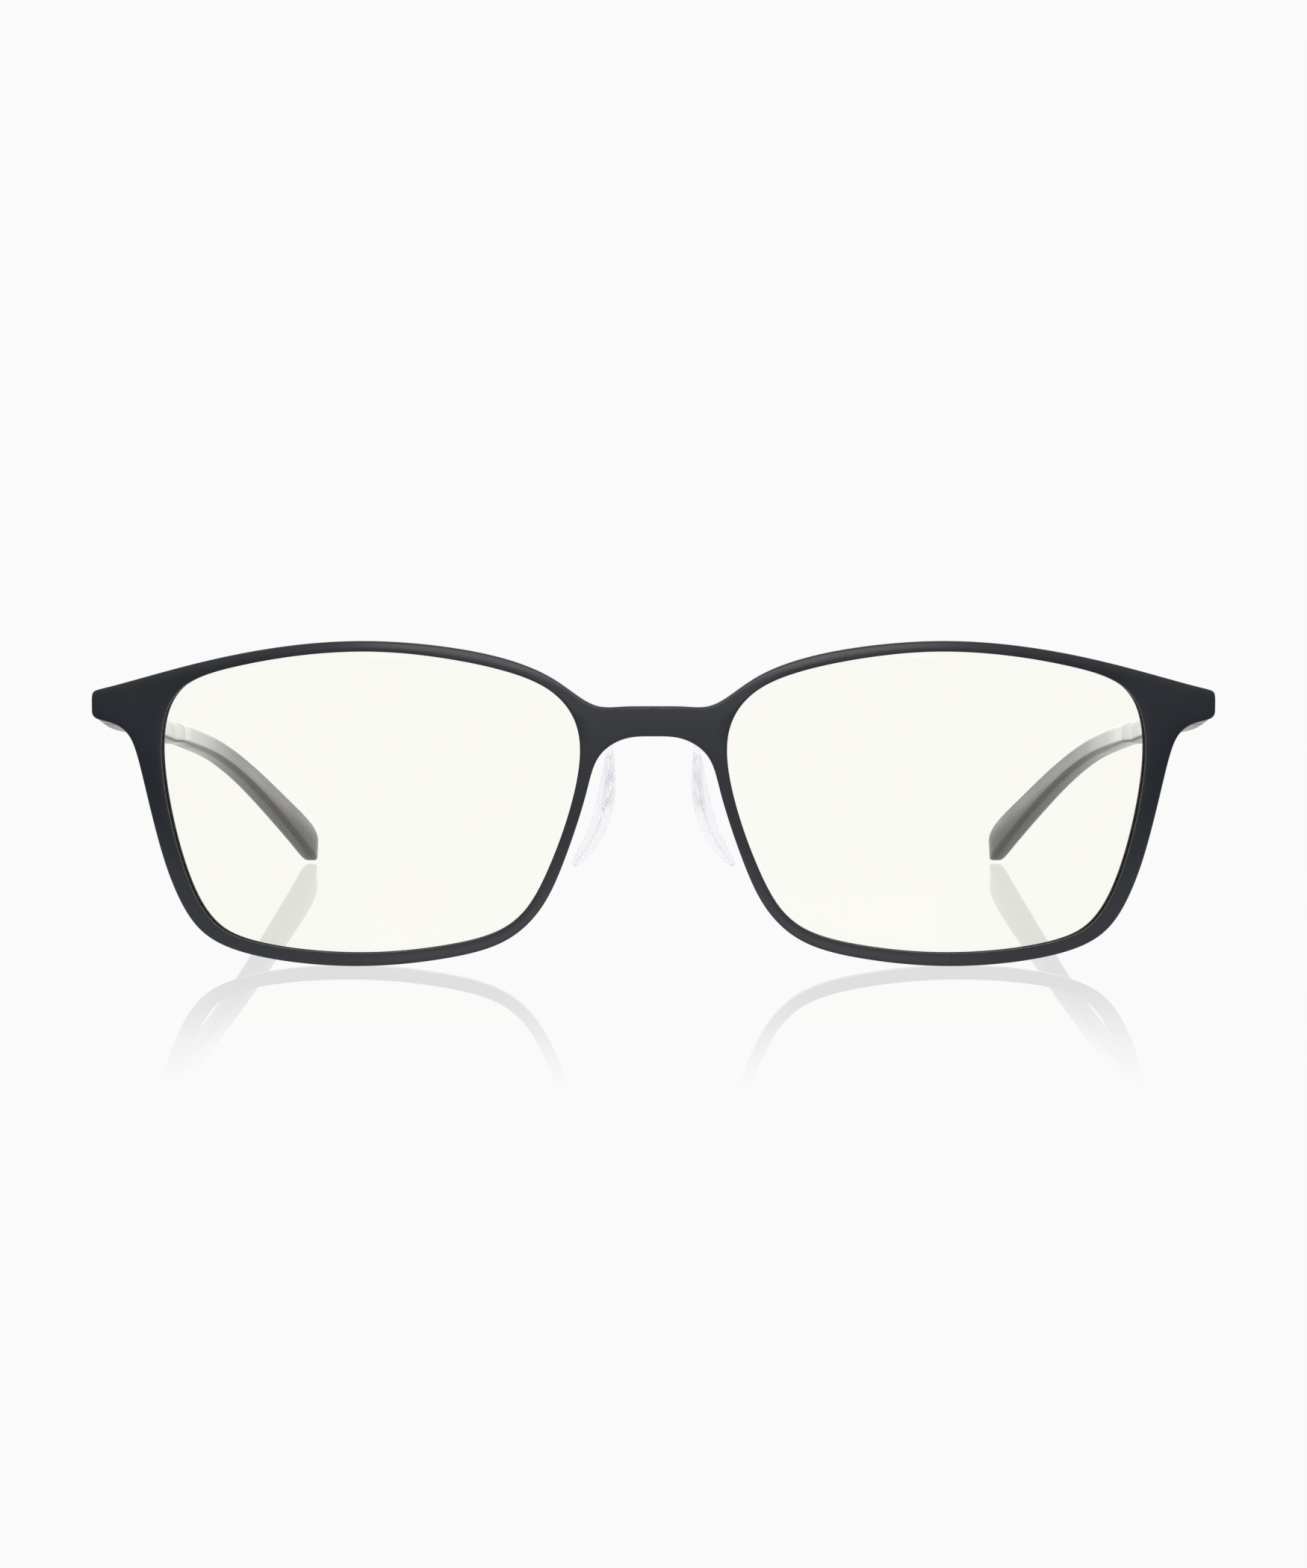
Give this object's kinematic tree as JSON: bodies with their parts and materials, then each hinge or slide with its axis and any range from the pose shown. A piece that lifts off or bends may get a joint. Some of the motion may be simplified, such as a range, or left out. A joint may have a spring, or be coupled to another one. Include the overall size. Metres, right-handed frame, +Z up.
{
  "type": "eyeglasses",
  "caption": "Full-rim glasses with clear curved lenses, a one-piece matte front, clear nose pads on arms, and slim temples with soft tips that fold inwards on metal hinges.",
  "frame": {"origin": "centre of the object's footprint on the surface that it stands on, temples open", "axes": "+Z up, the front of the glasses faces -Y and the temples run back along +Y, the wearer's left is +X"},
  "size_m": [0.145, 0.1569, 0.0417],
  "materials": {
    "navy_plastic": "satin charcoal-navy moulding, fine and even",
    "clear_lens": "polished clear lens with a barely warm tint",
    "clear_plastic": "clear moulded plastic",
    "clear_silicone": "clear soft silicone, slightly milky",
    "ear_rubber": "dark grey soft-touch rubber",
    "core_wire": "plain drawn wire",
    "hinge_steel": "small satin hinge fittings"
  },
  "bodies": {
    "front": {"front_frame": "navy_plastic", "left_lens": "clear_lens", "left_pad_arm": "clear_plastic", "left_nose_pad": "clear_silicone", "left_front_hinge_leaf": "hinge_steel", "left_hinge_screw": "hinge_steel", "left_front_rivet_1": "hinge_steel", "left_front_rivet_2": "hinge_steel", "right_lens": "clear_lens", "right_pad_arm": "clear_plastic", "right_nose_pad": "clear_silicone", "right_front_hinge_leaf": "hinge_steel", "right_hinge_screw": "hinge_steel", "right_front_rivet_1": "hinge_steel", "right_front_rivet_2": "hinge_steel"},
    "left_side": {"left_temple": "navy_plastic", "left_temple_tip": "ear_rubber", "left_temple_core": "core_wire", "left_temple_hinge_leaf": "hinge_steel", "left_temple_rivet_1": "hinge_steel", "left_temple_rivet_2": "hinge_steel"},
    "right_side": {"right_temple": "navy_plastic", "right_temple_tip": "ear_rubber", "right_temple_core": "core_wire", "right_temple_hinge_leaf": "hinge_steel", "right_temple_rivet_1": "hinge_steel", "right_temple_rivet_2": "hinge_steel"}
  },
  "joints": [
    {"name": "left_temple_fold", "type": "hinge", "parent": "front", "child": "left_side", "pos_m": [0.06745, -0.06173, 0.0322], "axis": [0, 0.1201, 0.9928], "range_deg": [0, 86]},
    {"name": "right_temple_fold", "type": "hinge", "parent": "front", "child": "right_side", "pos_m": [-0.06745, -0.06173, 0.0322], "axis": [0, -0.1201, -0.9928], "range_deg": [0, 78]}
  ]
}
